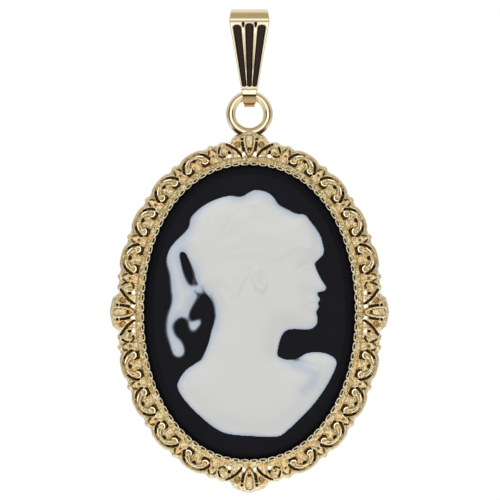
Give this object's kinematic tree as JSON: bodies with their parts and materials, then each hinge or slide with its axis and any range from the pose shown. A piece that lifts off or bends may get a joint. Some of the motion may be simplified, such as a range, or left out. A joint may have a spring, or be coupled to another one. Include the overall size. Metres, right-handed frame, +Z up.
{
  "type": "cameo pendant",
  "caption": "Oval cameo pendant: white head-and-shoulders relief on a black stone in a scroll-bordered gold-coloured cup, with a ring hung from a folded tapered bail.",
  "frame": {"origin": "the chain's seat, at the inner top of the bail", "axes": "+X to the pendant's right as it is seen from the front, +Z up, and the front faces -Y"},
  "size_m": [0.0236, 0.0038, 0.0409],
  "materials": {
    "cast_gold": "gold-plated casting, satin with bright edges",
    "black_stone": "polished black",
    "white_relief": "satin white, bluish where thin",
    "polished_gold": "gold-plated, polished"
  },
  "bodies": {
    "bail": {"bail": "polished_gold"},
    "drop": {"frame": "cast_gold", "cameo_base": "black_stone", "cameo_figure": "white_relief"}
  },
  "joints": [
    {"name": "pendant_swing", "type": "hinge", "parent": "bail", "child": "drop", "pos_m": [0, 0, -0.00685], "axis": [1, 0, 0], "range_deg": [-139, 142]}
  ]
}
